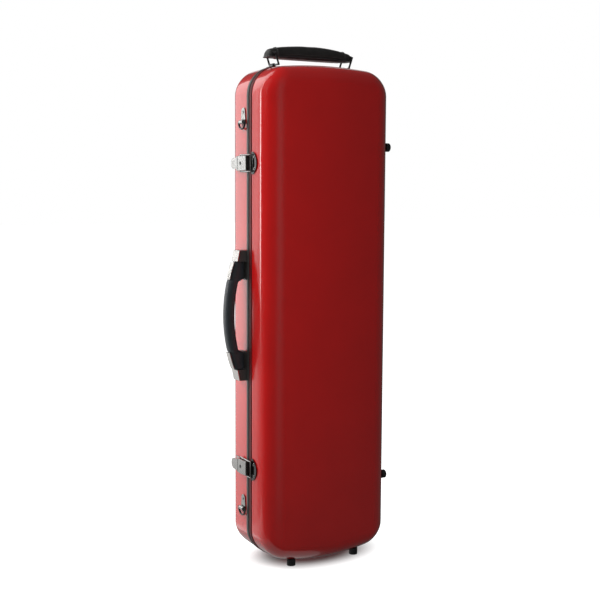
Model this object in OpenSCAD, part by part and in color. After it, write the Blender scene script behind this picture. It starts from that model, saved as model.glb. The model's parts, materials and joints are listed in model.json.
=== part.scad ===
// Oblong violin case: two moulded shells with a hinged lid, draw latches, a side handle,
// an end handle, strap rings, rubber feet and a fitted interior. It stands on its lower end.
// X runs from the handle side (-X) to the hinge side (+X), Y from the lid (-Y) to the base (+Y), Z is up.

/* [Shells] */
// Width of the shells
case_w = 220; // [218:1:222]
// Length of the shells, which is their height as the case stands
case_h = 775; // [770:1:780]
// Depth of the lid at its front edge
lid_d = 66.5; // [65:0.5:68]
// Depth of the base at its back edge
base_d = 70; // [69:0.5:72]
// Thickness of the moulded wall
wall = 3; // [2.5:0.1:3]
// Radius of the lid's front edge
lid_edge_r = 32; // [29:1:34]
// Radius of the base's back edge
base_edge_r = 23; // [20:1:26]
// Clearance under the middle of the lower end
floor_gap = 3.5; // [3:0.1:5]

/* [Hardware] */
// Distance of each latch from the middle of the case
latch_offset = 238; // [232:1:244]
// Distance of each strap lug from the middle of the case
lug_offset = 304; // [300:1:308]
// Distance of the outer hinges from the middle of the case
hinge_offset = 210; // [195:1:220]
// Height of the side handle's middle above the middle of the case
handle_rise = 2; // [0:1:10]
// Lean of the end handle's wire bails
bail_lean = 19; // [17:1:20]

/* [Interior] */
// Length of the violin body's pocket
body_l = 360; // [357:1:363]
// Half width of the pocket at the lower bout
lower_bout = 103; // [100:1:103]
// Half width of the pocket at the upper bout
upper_bout = 86; // [83:1:88]

/* [Hidden] */
$fn = 48;
half_w = case_w / 2;
mid_z = floor_gap + case_h / 2;
top_z = floor_gap + case_h;
case_x = 13.4;              // moves the shells so that the whole case is centred on the origin
run = 0.06;                 // running clearance around pins
gap = 0.3;                  // gap between loose or soft pieces and their neighbours

top_corner_r = 39;          // corner radius of the outline at the upper end
low_corner_r = 35;          // the same at the lower end
top_crown = 8.2;            // how far the upper end falls towards its corners
low_crown = 17.5;           // how far the lower end rises towards its corners
dome = 2.5;                 // slope of the front and back where they leave their edge radius, in degrees
rim_edge = 8.4;             // how far each rim reaches from the parting plane
rim_face = 1.2;             // distance of each rim's face from the parting plane
rim_proud = 1;              // how far the rims stand out of the shells
rim_depth = 4;              // how far the rims reach inside the shells' outline
lining_t = 2.5;

foot_r = 6.8;
foot_x = 57.5;              // place of the end feet across the width
foot_y = 42;                // place of all feet from the parting plane
base_foot_h = floor_gap + 6.5;
lid_foot_h = floor_gap + 7.5;
side_foot_offset = 265;     // place of the side feet from the middle of the case
side_foot_h = 6.5;
screw_r = 2;
screw_head_r = 3.3;
foot_recess_r = 3.6;        // recess for the screw's head in a foot
foot_recess_h = 2;
rivet_r = 2.3;
shank_r = 1.2;

hinge_l = 60;
hinge_r = 2.6;              // knuckle radius
hinge_h = 3.8;              // height of the hinge axis over the shells' side
hinge_pin_r = 1.5;
leaf_t = 2.4;
leaf_w = 23;

latch_z = [mid_z + latch_offset, mid_z - latch_offset];
lever_axis = [4.4, 0.5];    // [height over the shells' side, distance from the parting plane]
bail_axis = [3.2, 25];      // the bail's pivot in the closed lever
bail_end = [4.1, -12];      // the end of the closed bail over the catch
lever_half = 11;            // half of the lever's width
cap_y = [-2.8, 24.4];       // front and back of the lever's cap
tab_y = 48;                 // end of the lever's finger tab
tab_r = 8.7;
skirt_t = 1.3;
lever_top = 8.3;
lever_t = 1.4;
bail_r = 1.1;
lever_pin_r = 1.3;
ear_t = 1.4;
lock_y = 15.5;
lock_r = 2.7;

lug_z = [mid_z + lug_offset, mid_z - lug_offset];
lug_y = 19.5;
ring_axis = [3.4, -3];      // [height over the shells' side, height over the lug's middle]
ring_r = 10.5;
ring_wire_r = 1.6;
ring_bar_r = 1.5;

handle_z = mid_z + handle_rise;
handle_y = 20;
handle_axis_h = 9.5;        // height of the side handle's pivot over the shells' side
grip_out_h = 33.4;          // height of the grip's outside in the middle
grip_in_h = 18.4;           // height of the grip's inside in the middle
grip_arc_r = 235;           // radius of the grip's outside
grip_w = 21;
grip_bar_end = 76;          // distance of the curved bar's ends from its middle
grip_end = 84;              // distance of the hubs' ends
grip_hub_r = 8.3;
grip_hub_l = 28;
tongue_z = [57, 83];        // the metal tongues on the grip
tongue_w = 13;
mount_end = 102;
mount_half = 11.2;          // half width of the mounts
mount_h = [14.4, 10.9];     // height of the mounts at their inner and outer end
flange_t = 0.6;
cover_t = 1.6;
handle_pin_r = 2.5;

end_y = 9;                  // middle of the end handle across the depth
bail_x = 63;                // pivots of the end handle's bails
bail_leg = 18;
bail_half = 15;
bail_wire_r = 1.5;
bail_bar_r = 1.4;
bail_z = top_z - top_crown * pow(bail_x / half_w, 2) + 4.2;
bail_top = [bail_x + bail_leg * sin(bail_lean), bail_z + bail_leg * cos(bail_lean)];
pad_z = bail_z + 11.4;      // underside of the pad
strap_t = 1.2;

bed_y = 9;                  // front of the foam bed
body_z = 32;                // lower end of the body pocket
neck_half = 24;
head_half = 34;             // half width of the scroll's pocket
neck_z = body_z + body_l - 12;
head_z = 532;
head_top = 648;
shelf_z = [668, 746];       // lower and upper end of the top compartment
board_x = [-98, -36];       // the accessory pocket's lid across the width
board_z = [412, 640];
board_t = 3;
cord_r = 1.4;
cord_x = board_x[0] + gap + cord_r;
clip_x = 38;
clip_z = 92;
sleeve_z = [680, 716];
sleeve_r = 9;

red = [0.72, 0.05, 0.07];
black = [0.07, 0.07, 0.08];
rubber = [0.12, 0.12, 0.12];
chrome = [0.78, 0.77, 0.75];
velvet = [0.16, 0.16, 0.19];
leather = [0.09, 0.09, 0.09];

// ---- outline and lofted solids ----

// A quarter of a circle, from angle a0
function quarter(cx, cz, r, a0, n = 7) =
    [for (i = [0:n]) [cx + r * cos(a0 + 90 * i / n), cz + r * sin(a0 + 90 * i / n)]];
// A rounded rectangle "inset" inside the shells' outline
function plain_outline(inset, steps = 6) =
    let (w = half_w - inset, lo = floor_gap + inset, hi = top_z - inset,
        rt = max(top_corner_r - inset, 2), rl = max(low_corner_r - inset, 2))
    concat(quarter(w - rl, lo + rl, rl, -90), quarter(w - rt, hi - rt, rt, 0),
        [for (i = [1:steps - 1]) [(w - rt) * (1 - 2 * i / steps), hi]],
        quarter(rt - w, hi - rt, rt, 90), quarter(rl - w, lo + rl, rl, 180),
        [for (i = [1:steps - 1]) [(w - rl) * (2 * i / steps - 1), lo]]);
// How strongly the crown acts at height z: 1 at the ends, 0 at the middle
function end_share(z) = pow(min(1, abs(z - mid_z) / (case_h / 2)), 2);
// The outline with its crowned ends
function outline(inset) = [for (p = plain_outline(inset))
    [p[0], p[1] + (p[1] > mid_z ? -top_crown : low_crown) * pow(p[0] / half_w, 2) * end_share(p[1])]];

function reversed(list) = [for (i = [len(list) - 1:-1:0]) list[i]];
// One surface of a shell, t inside the outer one, as [distance from the parting plane, inset] pairs:
// the straight side, the edge radius and the slightly domed face
function shell_rows(d, r, t, start, arc_steps = 7, dome_steps = 3) =
    let (rr = r - t, flat = d - r, last = 90 - dome, s0 = rr * (1 - cos(last)), y0 = flat + rr * sin(last),
        span = half_w - t - s0)
    concat([[start, t], [flat, t]],
        [for (i = [1:arc_steps]) let (a = last * i / arc_steps) [flat + rr * sin(a), t + rr * (1 - cos(a))]],
        [for (i = [1:dome_steps]) let (s = span * 0.86 * i / dome_steps)
            [y0 + tan(dome) * (s - s * s / (2 * span)), t + s0 + s]]);

// A solid through the outlines at [y, inset] rows: a closed ring, or with a flat end on the first and last
module lofted(rows, closed = false) {
    n = len(outline(0));
    count = len(rows);
    points = [for (row = rows) for (p = outline(row[1])) [p[0], row[0], p[1]]];
    sides = [for (k = [0:count - (closed ? 1 : 2)]) for (i = [0:n - 1])
        let (j = (i + 1) % n, a = k * n, b = ((k + 1) % count) * n)
        each [[a + i, b + j, a + j], [a + i, b + i, b + j]]];
    ends = closed ? [] : [[for (i = [0:n - 1]) i], [for (i = [n - 1:-1:0]) (count - 1) * n + i]];
    polyhedron(points = points, faces = concat(sides, ends), convexity = 8);
}
// A thin moulding between two insets, with fewer rows on its inside
module moulding(d, r, t0, t1, start, arc_steps = 7, dome_steps = 3) lofted(concat(
    reversed(shell_rows(d, r, t0, start, arc_steps, dome_steps)), shell_rows(d, r, t1, start, 5, 2)));
// The shape of the lid is the same, turned over
module lid_way() mirror([0, 1, 0]) children();

// ---- places and small shapes ----

// Local x points out of the handle side, y from lid to base, z up
module on_handle_side(z) translate([-half_w, 0, z]) mirror([1, 0, 0]) children();
// Local x points out of the hinge side
module on_hinge_side(z) translate([half_w, 0, z]) children();
// A block from its low to its high corner
module block(low, high) translate(low) cube(high - low);
module rod_x(r, x0, x1) translate([x0, 0, 0]) rotate([0, 90, 0]) cylinder(r = r, h = x1 - x0);
module rod_y(r, y0, y1) translate([0, y1, 0]) rotate([90, 0, 0]) cylinder(r = r, h = y1 - y0);
module rod_z(r, z0, z1) translate([0, 0, z0]) cylinder(r = r, h = z1 - z0);
// A rod between two points
module rod(r, from, to) {
    d = to - from;
    translate(from) rotate([0, acos(d[2] / norm(d)), atan2(d[1], d[0])]) cylinder(r = r, h = norm(d));
}
// A rivet through a sheet of thickness t into the wall behind it
module rivet(t) {
    translate([t, 0, 0]) rotate([0, 90, 0]) cylinder(r1 = rivet_r, r2 = rivet_r * 0.55, h = 1);
    rod_x(shank_r, -wall, t);
}
module rivet_hole(t) rod_x(shank_r + run, -1, t + 1);

// ---- shells, rims and feet ----

module base_shell() color(red) moulding(base_d, base_edge_r, 0, wall, rim_edge);
module lid_shell() color(red) lid_way() moulding(lid_d, lid_edge_r, 0, wall, rim_edge);
// A rim stands proud of the shell and covers its edge
module rim() lofted([[rim_edge, rim_depth], [rim_face, rim_depth], [rim_face, 0.4 - rim_proud],
    [rim_face + 0.8, -rim_proud], [rim_edge - 0.8, -rim_proud], [rim_edge, 0.4 - rim_proud]], closed = true);
module base_rim() color(black) rim();
module lid_rim() color(black) lid_way() rim();
// The gasket is seated on the base's rim
module rim_gasket() color(rubber) lofted([[rim_face, 3.2], [-rim_face + gap, 3.2], [-rim_face + gap, 0.3],
    [rim_face, 0.3]], closed = true);

// A rubber foot along +Z, with a recess for its screw
module foot(h) difference() {
    cylinder(r = foot_r, h = h);
    translate([0, 0, -1]) cylinder(r = foot_recess_r, h = foot_recess_h + 1);
    translate([0, 0, -1]) cylinder(r = screw_r + run, h = h + 2);
}
// The screw's head lies in the recess and its shank ends in the wall
module foot_screw(end) {
    rod_z(screw_head_r, 0.9, foot_recess_h);
    rod_z(screw_r, foot_recess_h - 0.1, end);
}
module at_end_feet() for (s = [-1, 1]) translate([s * foot_x, foot_y, 0]) children();
module at_side_feet() for (s = [-1, 1]) on_hinge_side(mid_z + s * side_foot_offset)
    translate([side_foot_h, foot_y, 0]) rotate([0, -90, 0]) children();
module end_feet(h) at_end_feet() foot(h);
module side_feet() at_side_feet() foot(side_foot_h + 1);
module foot_screws(h) {
    at_end_feet() foot_screw(h + 0.8);
    at_side_feet() foot_screw(side_foot_h + 2.5);
}
module base_end_feet() color(rubber) end_feet(base_foot_h);
module lid_end_feet() color(rubber) lid_way() end_feet(lid_foot_h);
module base_side_feet() color(rubber) side_feet();
module lid_side_feet() color(rubber) lid_way() side_feet();
module base_foot_screws() color(chrome) foot_screws(base_foot_h);
module lid_foot_screws() color(chrome) lid_way() foot_screws(lid_foot_h);

// ---- hinges ----

hinge_z = [mid_z + hinge_offset, mid_z, mid_z - hinge_offset];
leaf_rivets = [for (s = [-1, 0, 1]) [leaf_w - 6, s * 22]];
knuckle_l = hinge_l / 5;
// One leaf on the base's side; its knuckles are the first-th, then every second one
module leaf(first) difference() {
    union() {
        block([0, rim_edge, -hinge_l / 2], [leaf_t, leaf_w, hinge_l / 2]);
        block([rim_proud + 0.1, hinge_r + gap, -hinge_l / 2], [leaf_t, rim_edge + 1, hinge_l / 2]);
        for (k = [first:2:4]) translate([0, 0, -hinge_l / 2 + k * knuckle_l]) {
            translate([hinge_h, 0, 0]) rod_z(hinge_r, 0.1, knuckle_l - 0.1);
            block([hinge_h - hinge_r + 0.05, 0, 0.1], [leaf_t, rim_edge, knuckle_l - 0.1]);
        }
    }
    translate([hinge_h, 0, 0]) rod_z(hinge_pin_r + run, -hinge_l, hinge_l);
    for (p = leaf_rivets) translate([0, p[0], p[1]]) rivet_hole(leaf_t);
}
module base_leaf(i) color(chrome) on_hinge_side(hinge_z[i]) leaf(0);
module lid_leaf(i) color(chrome) on_hinge_side(hinge_z[i]) lid_way() leaf(1);
module hinge_upper_base_leaf() base_leaf(0);
module hinge_middle_base_leaf() base_leaf(1);
module hinge_lower_base_leaf() base_leaf(2);
module hinge_upper_lid_leaf() lid_leaf(0);
module hinge_middle_lid_leaf() lid_leaf(1);
module hinge_lower_lid_leaf() lid_leaf(2);
module hinge_pins() color(chrome) for (z = hinge_z) on_hinge_side(z) translate([hinge_h, 0, 0]) {
    rod_z(hinge_pin_r, -hinge_l / 2 - 1, hinge_l / 2 + 1);
    for (s = [-1, 1]) translate([0, 0, s * (hinge_l / 2 + 0.8)]) rod_z(hinge_r - 0.4, -0.6, 0.6);
}

// ---- draw latches ----

plate_t = 1.2;
plate_rivets = [[17, 6], [17, -6], [38, 5], [38, -5]];
catch_t = 1.6;
catch_rivets = [[-18, 9], [-18, -9]];
// The plate on the base; two arms reach over the rim and hold the lever's pin
module latch_plate() color(chrome) difference() {
    union() {
        block([0, rim_edge + 0.6, -lever_half], [plate_t, 44, lever_half]);
        for (s = [-1, 1]) translate([0, 0, s * 8.8]) {
            block([0, rim_edge + 0.6, -ear_t / 2], [lever_axis[0] + 0.5, rim_edge + 4, ear_t / 2]);
            block([rim_proud + 0.5, lever_axis[1], -ear_t / 2],
                [lever_axis[0] + 0.5, rim_edge + 1, ear_t / 2]);
            translate([lever_axis[0], lever_axis[1], 0]) rod_z(2.4, -ear_t / 2, ear_t / 2);
        }
    }
    translate([lever_axis[0], lever_axis[1], 0]) rod_z(lever_pin_r + run, -20, 20);
    for (p = plate_rivets) translate([0, p[0], p[1]]) rivet_hole(plate_t);
}
module latch_pin() color(chrome) translate([lever_axis[0], lever_axis[1], 0])
    rod_z(lever_pin_r, -lever_half + 0.1, lever_half - 0.1);
// The lever is a cap with a skirt on each side and, behind a groove, a round finger tab
module latch_lever() color(chrome) difference() {
    union() {
        block([lever_top - lever_t, cap_y[0], -lever_half], [lever_top, cap_y[1] + 4, lever_half]);
        block([lever_top - 1.8 * lever_t, cap_y[1] - 2, -tab_r], [lever_top, tab_y - tab_r, tab_r]);
        translate([0, tab_y - tab_r, 0]) rod_x(tab_r, lever_top - 1.8 * lever_t, lever_top);
        for (s = [-1, 1]) translate([0, 0, s * (lever_half - skirt_t / 2)]) {
            block([1.8, lever_axis[1] + 2, -skirt_t / 2], [lever_top - 0.5, cap_y[1] + 4, skirt_t / 2]);
            block([lever_axis[0], lever_axis[1] - 2.6, -skirt_t / 2], [lever_top - 0.5, 12, skirt_t / 2]);
            translate([lever_axis[0], lever_axis[1], 0]) rod_z(2.6, -skirt_t / 2, skirt_t / 2);
        }
    }
    translate([lever_axis[0], lever_axis[1], 0]) rod_z(lever_pin_r + run, -20, 20);
    translate([bail_axis[0], bail_axis[1], 0]) rod_z(bail_r + run, -20, 20);
    translate([0, lock_y, 0]) rod_x(lock_r + run, 0, 20);
    block([lever_top - 0.8, cap_y[1], -20], [lever_top + 1, cap_y[1] + 1.3, 20]);
}
// The lock is a cylinder with a key slot and a cam under the lever
module latch_lock() color(chrome) difference() {
    translate([0, lock_y, 0]) {
        rod_x(lock_r, 5.2, lever_top + 0.3);
        block([4.2, -1.2, -1.2], [5.4, 6.5, 1.2]);
    }
    block([lever_top - 0.8, lock_y - 0.4, -1.7], [20, lock_y + 0.4, 1.7]);
    translate([0, lock_y, 0.9]) rod_x(0.9, lever_top - 0.8, 20);
}
// The bail is a wire frame around the lever, whose bent ends turn in the lever's skirts
module latch_bail() color(chrome) {
    half = lever_half + bail_r + 0.4;
    for (s = [-1, 1]) {
        rod(bail_r, [bail_axis[0], bail_axis[1], s * half], [bail_end[0], bail_end[1], s * half]);
        translate([bail_axis[0], bail_axis[1], s * half]) sphere(r = bail_r + 0.1);
        translate([bail_end[0], bail_end[1], s * half]) sphere(r = bail_r + 0.1);
        translate([bail_axis[0], bail_axis[1], 0]) rod_z(bail_r, s > 0 ? lever_half - skirt_t : -half,
            s > 0 ? half : skirt_t - lever_half);
    }
    translate([bail_end[0], bail_end[1], 0]) rod_z(bail_r - 0.05, -half, half);
}
// The catch is a D-shaped plate on the lid with a raised lip inside the bail
module latch_catch() color(chrome) difference() {
    union() {
        intersection() {
            block([0, -26, -17], [catch_t, -rim_edge - 0.6, 17]);
            translate([0, -8, 0]) rod_x(17.8, 0, catch_t);
        }
        block([0, -10.6, -9], [2.7, -9.2, 9]);
    }
    for (p = catch_rivets) translate([0, p[0], p[1]]) rivet_hole(catch_t);
}
module latch_upper_plate() on_handle_side(latch_z[0]) latch_plate();
module latch_lower_plate() on_handle_side(latch_z[1]) latch_plate();
module latch_upper_pin() on_handle_side(latch_z[0]) latch_pin();
module latch_lower_pin() on_handle_side(latch_z[1]) latch_pin();
module latch_upper_lever() on_handle_side(latch_z[0]) latch_lever();
module latch_lower_lever() on_handle_side(latch_z[1]) latch_lever();
module latch_upper_lock() on_handle_side(latch_z[0]) latch_lock();
module latch_lower_lock() on_handle_side(latch_z[1]) latch_lock();
module latch_upper_bail() on_handle_side(latch_z[0]) latch_bail();
module latch_lower_bail() on_handle_side(latch_z[1]) latch_bail();
module latch_upper_catch() on_handle_side(latch_z[0]) latch_catch();
module latch_lower_catch() on_handle_side(latch_z[1]) latch_catch();

// ---- strap lugs and rings ----

lug_t = 1.4;
lug_eye = 6.2;              // half length of the lug's rolled eye
lug_top = 13;               // middle of the lug's round end
lug_end_r = 6;
module strap_lug() color(chrome) difference() {
    union() {
        rotate([90, 0, 90]) linear_extrude(lug_t)
            polygon([[-7.6, ring_axis[1]], [7.6, ring_axis[1]], [5.8, 14], [-5.8, 14]]);
        translate([0, 0, lug_top]) rod_x(lug_end_r, 0, lug_t);
        translate([ring_axis[0], 0, ring_axis[1]]) rod_y(ring_bar_r + 1.7, -lug_eye, lug_eye);
    }
    translate([ring_axis[0], 0, ring_axis[1]]) rod_y(ring_bar_r + run, -10, 10);
    translate([0, 0, 12]) rivet_hole(lug_t);
}
// A D-shaped ring that hangs from the lug
module strap_ring() color(black) translate([ring_axis[0], 0, ring_axis[1]]) {
    rod_y(ring_bar_r, -ring_r, ring_r);
    rotate([90, 0, 90]) rotate_extrude(angle = 180, start = 180)
        translate([ring_r, 0]) circle(r = ring_wire_r);
    for (s = [-1, 1]) translate([0, s * ring_r, 0]) sphere(r = ring_wire_r + 0.15);
}
module at_lug(i) on_handle_side(lug_z[i]) translate([0, lug_y, 0]) children();
module strap_lug_upper() at_lug(0) strap_lug();
module strap_lug_lower() at_lug(1) strap_lug();
module strap_ring_upper() at_lug(0) strap_ring();
module strap_ring_lower() at_lug(1) strap_ring();

// All rivets stand in the shells' walls
module at_rivets(places, t) for (p = places) translate([0, p[0], p[1]]) rivet(t);
module base_rivets() color(chrome) {
    for (z = latch_z) on_handle_side(z) at_rivets(plate_rivets, plate_t);
    for (i = [0, 1]) at_lug(i) translate([0, 0, 12]) rivet(lug_t);
    for (z = hinge_z) on_hinge_side(z) at_rivets(leaf_rivets, leaf_t);
}
module lid_rivets() color(chrome) {
    for (z = latch_z) on_handle_side(z) at_rivets(catch_rivets, catch_t);
    for (z = hinge_z) on_hinge_side(z) lid_way() at_rivets(leaf_rivets, leaf_t);
}

// ---- side handle ----

// Local frame: x out of the handle side, y from the handle's middle, z from the handle's middle
module at_handle() on_handle_side(handle_z) translate([0, handle_y, 0]) children();
// A bar along the grip's arc between two angles: from h0 to h1 above the side in the middle, and w wide
module arc_bar(h0, h1, w, from, to) translate([grip_out_h - grip_arc_r, 0, 0]) rotate([90, 0, 0])
    rotate_extrude(angle = to - from, start = from, $fn = 96)
        translate([grip_arc_r - grip_out_h, 0]) rounded_slot(h0, h1, w);
// A rectangle with rounded corners
module rounded_slot(x0, x1, w) {
    r = min(7.4, (x1 - x0) / 2 - 0.01);
    translate([x0 + r, -w / 2]) square([x1 - x0 - 2 * r, w]);
    translate([x0, -w / 2 + r]) square([x1 - x0, w - 2 * r]);
    for (x = [x0 + r, x1 - r], y = [r - w / 2, w / 2 - r]) translate([x, y]) circle(r = r);
}
function on_arc(z) = asin(z / grip_arc_r);
module side_grip() color(leather) at_handle() difference() {
    union() {
        arc_bar(grip_in_h, grip_out_h, grip_w, on_arc(-grip_bar_end), on_arc(grip_bar_end));
        for (s = [-1, 1]) translate([handle_axis_h, 0, s * (grip_end - grip_hub_l / 2)])
            rod_z(grip_hub_r, -grip_hub_l / 2, grip_hub_l / 2);
    }
    translate([handle_axis_h, 0, 0]) for (s = [-1, 1])
        translate([0, 0, s * (grip_end - 8)]) rod_z(handle_pin_r + run, -8.5, 8.5);
}
// A narrow metal tongue along the outside of each end of the grip
module grip_tongue() color(chrome)
    arc_bar(grip_out_h + 0.05, grip_out_h + 1.5, tongue_w, on_arc(tongue_z[0]), on_arc(tongue_z[1]));
module side_grip_cap_upper() at_handle() grip_tongue();
module side_grip_cap_lower() at_handle() mirror([0, 0, 1]) grip_tongue();
// A shape drawn in [height, z] and extruded across the mount
module across_mount(half) rotate([90, 0, 0]) linear_extrude(2 * half, center = true) children();
// The mount is a block that falls outwards, with a thin flange under the grip's hub
module side_mount() color(black) difference() {
    union() {
        across_mount(mount_half) polygon([[0, grip_end + 0.6], [mount_h[0], grip_end + 0.6],
            [mount_h[1], mount_end], [0, mount_end]]);
        block([0, -mount_half, grip_end - grip_hub_l], [flange_t, mount_half, grip_end + 1]);
    }
    translate([handle_axis_h, 0, 0]) rod_z(handle_pin_r + run, grip_end - 1, mount_end - 10);
}
module side_mount_upper() at_handle() side_mount();
module side_mount_lower() at_handle() mirror([0, 0, 1]) side_mount();
// A metal cover on each mount
module side_mount_covers() color(chrome) at_handle() for (s = [0, 1]) mirror([0, 0, s])
    across_mount(mount_half - 0.4) polygon([
        [mount_h[0], grip_end + 0.9], [mount_h[0] + cover_t, grip_end + 0.9],
        [mount_h[1] + cover_t, mount_end], [mount_h[1], mount_end]]);
module side_handle_pins() color(chrome) at_handle() for (s = [0, 1]) mirror([0, 0, s])
    translate([handle_axis_h, 0, 0]) rod_z(handle_pin_r, grip_end - 16, mount_end - 10.5);

// ---- end handle ----

module at_bail(s) translate([s * bail_x, end_y, bail_z]) rotate([0, s * bail_lean, 0]) children();
module end_bail(s) color(black) at_bail(s) {
    for (z = [0, bail_leg]) translate([0, 0, z]) rod_y(bail_bar_r, -bail_half, bail_half);
    for (y = [-bail_half, bail_half]) translate([0, y, 0]) {
        rod_z(bail_wire_r, 0, bail_leg);
        for (z = [0, bail_leg]) translate([0, 0, z]) sphere(r = bail_wire_r + 0.12);
    }
}
module end_bail_left() end_bail(-1);
module end_bail_right() end_bail(1);
// The bracket stands on the base's upper end, beside the rim
bracket_y = [rim_edge + 0.6, 22];    // front and back of the brackets
bracket_r = 2.8;                     // radius of the bracket's eye
module end_bracket(s) color(black) translate([s * bail_x, 0, 0]) difference() {
    union() {
        block([-7, bracket_y[0], bail_z - 5], [7, bracket_y[1], bail_z - 2.4]);
        block([-bracket_r, bracket_y[0], bail_z - 3], [bracket_r, bracket_y[1], bail_z]);
        translate([0, 0, bail_z]) rod_y(bracket_r, bracket_y[0], bracket_y[1]);
    }
    translate([0, 0, bail_z]) rod_y(bail_bar_r + run, 0, 40);
}
module end_bracket_left() end_bracket(-1);
module end_bracket_right() end_bracket(1);
// The strap under the pad carries the bails: in a bore at the left, and at the right in a slot, for slack
strap_half = 11;
slot_l = 3.8;
module end_strap() color(leather) translate([0, end_y, 0]) difference() {
    union() {
        block([-60, -strap_half, pad_z - strap_t - 0.1], [58, strap_half, pad_z - 0.1]);
        translate([-bail_top[0], 0, bail_top[1]]) rod_y(2.8, -strap_half, strap_half);
        rotate([90, 0, 0]) linear_extrude(2 * strap_half, center = true) {
            polygon([[-60, pad_z - strap_t - 0.1], [-58, pad_z - 0.1], [-bail_top[0] + 1.5, bail_top[1] + 2],
                [-bail_top[0] - 1, bail_top[1] - 2.4]]);
            polygon([[57, pad_z - strap_t - 0.1], [bail_top[0] + 1.5, bail_top[1] - 3.4],
                [bail_top[0] + 3.6, bail_top[1] - 2], [bail_top[0] + 3.6, bail_top[1] + 2],
                [bail_top[0] + 1.5, bail_top[1] + 3.4], [bail_top[0] - 6.5, bail_top[1] + 3.4],
                [bail_top[0] - 8, bail_top[1] + 1], [57, pad_z - 0.1]]);
        }
    }
    translate([-bail_top[0], 0, bail_top[1]]) rod_y(bail_bar_r + run, -20, 20);
    for (x = [0, -slot_l]) translate([bail_top[0] + x, 0, bail_top[1]]) rod_y(bail_bar_r + 0.5, -20, 20);
    block([bail_top[0] - slot_l, -20, bail_top[1] - bail_bar_r - 0.5],
        [bail_top[0], 20, bail_top[1] + bail_bar_r + 0.5]);
}
// The pad is flat below and crowned above, with a hollow at each end for the bail
pad_reach = [1.05, 1];      // how far it reaches at the left and right, relative to its profile
module end_pad() color(leather) translate([0, end_y, 0]) difference() {
    hull() for (p = [[0, 20.5], [38, 18.5], [60, 15], [70, 11.5]], i = [0, 1]) intersection() {
        translate([(2 * i - 1) * p[0] * pad_reach[i], 0, pad_z])
            scale([0.4, 1.05, 1]) sphere(r = p[1], $fn = 24);
        block([-100, -19, pad_z], [100, 19, pad_z + 30]);
    }
    for (s = [0, 1]) mirror([s, 0, 0]) block([53.5, -17.2, pad_z - 1], [75.2, 17.2, pad_z + 9.4]);
}

// ---- interior ----

// Smooth step between two key points [place, value] of the body's outline
function eased(a, b, t) = a[1] + (b[1] - a[1]) * (1 - cos(180 * (t - a[0]) / (b[0] - a[0]))) / 2;
low = [0.24, lower_bout];
waist = [0.56, 62];
high = [0.80, upper_bout];
// Half width of the body's pocket at share t of its length
function body_half(t) = t < low[0] ? low[1] * sqrt(1 - pow((low[0] - t) / low[0], 2.4))
    : t < waist[0] ? eased(low, waist, t) : t < high[0] ? eased(waist, high, t)
    : high[1] * sqrt(1 - pow((t - high[0]) / (1 - high[0]), 2.4));
body_steps = 30;
body_shares = [for (i = [0:body_steps]) (1 - cos(180 * i / body_steps)) / 2];
body_outline = concat([for (t = body_shares) [max(body_half(t), 8), body_z + body_l * t]],
    [for (t = reversed(body_shares)) [-max(body_half(t), 8), body_z + body_l * t]]);
// A flat shape drawn in X and Z, extruded between two depths
module slab(y0, y1) translate([0, y1, 0]) rotate([90, 0, 0]) linear_extrude(y1 - y0) children();
module foam_bed() color(velvet) difference() {
    lofted(concat([[bed_y, rim_depth + gap + 0.2], [bed_y + 5, wall + gap]],
        [for (row = shell_rows(base_d, base_edge_r, wall + gap, bed_y + 5, 5, 2))
            if (row[0] > bed_y + 6) row]));
    slab(0, 60) polygon(body_outline);
    block([-neck_half, 0, neck_z], [neck_half, 50, head_z + 4]);
    block([-head_half, 0, head_z], [head_half, 56, head_top]);
    block([-88, 0, shelf_z[0]], [88, 58, shelf_z[1]]);
    block([board_x[0] - gap, 0, board_z[0] - gap],
        [board_x[1] + gap, bed_y + board_t + 2 * gap, board_z[1] + gap]);
    block([board_x[0] + 3, 0, board_z[0] + 3], [board_x[1] - 3, 58, board_z[1] - 3]);
    block([39, 0, board_z[0] + 3], [95, 58, board_z[1] - 3]);
}
// The cradle holds the neck off the floor of its channel
module neck_cradle() color(velvet) difference() {
    block([gap - neck_half, 26, 478], [neck_half - gap, 50, 508]);
    translate([0, 22, 0]) rod_z(15, 400, 600);
}
module neck_strap() color(leather) block([-33, bed_y - 1.6, 484], [33, bed_y, 502]);
// The pocket's lid turns on a covered cord along its edge
module pocket_lid() color(velvet) {
    block([cord_x, bed_y + gap, board_z[0] + gap],
        [board_x[1] - gap, bed_y + gap + board_t, board_z[1] - gap]);
    translate([cord_x, bed_y + gap, 0]) rod_z(cord_r, board_z[0] + gap, board_z[1] - gap);
}
module pocket_lid_tab() color(leather)
    block([board_x[1] - 16, bed_y + gap - 1, 518], [board_x[1] - 2, bed_y + gap, 532]);
module lid_lining() color(velvet) lid_way()
    moulding(lid_d, lid_edge_r, wall + gap, wall + gap + lining_t, rim_edge + 1, 5, 2);

// Depth of the lid lining's inside where it is flat
lining_y = -(lid_d - wall - gap - lining_t) - 1;
module at_clip(s) translate([s * clip_x, 0, clip_z]) children();
module bow_clip_seats() color(black) for (s = [-1, 1]) at_clip(s) difference() {
    rod_y(9, lining_y, lining_y + 5);
    rod_y(3 + run, lining_y + 1, 0);
}
module bow_clip(s) color(black) at_clip(s) difference() {
    union() {
        rod_y(3, lining_y + 1.5, lining_y + 7);
        block([-8, lining_y + 5.3, -5], [8, lining_y + 21, 5]);
    }
    translate([0, lining_y + 17, 0]) rod_z(5.2, -20, 20);
    block([-4, lining_y + 17, -20], [4, lining_y + 40, 20]);
}
module bow_clip_left() bow_clip(-1);
module bow_clip_right() bow_clip(1);
module bow_sleeves() color(velvet) for (s = [-1, 1]) translate([s * clip_x, lining_y + sleeve_r + 0.6, 0])
    difference() {
        rod_z(sleeve_r, sleeve_z[0], sleeve_z[1]);
        rod_z(sleeve_r - 1.2, 0, 1000);
    }

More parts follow.
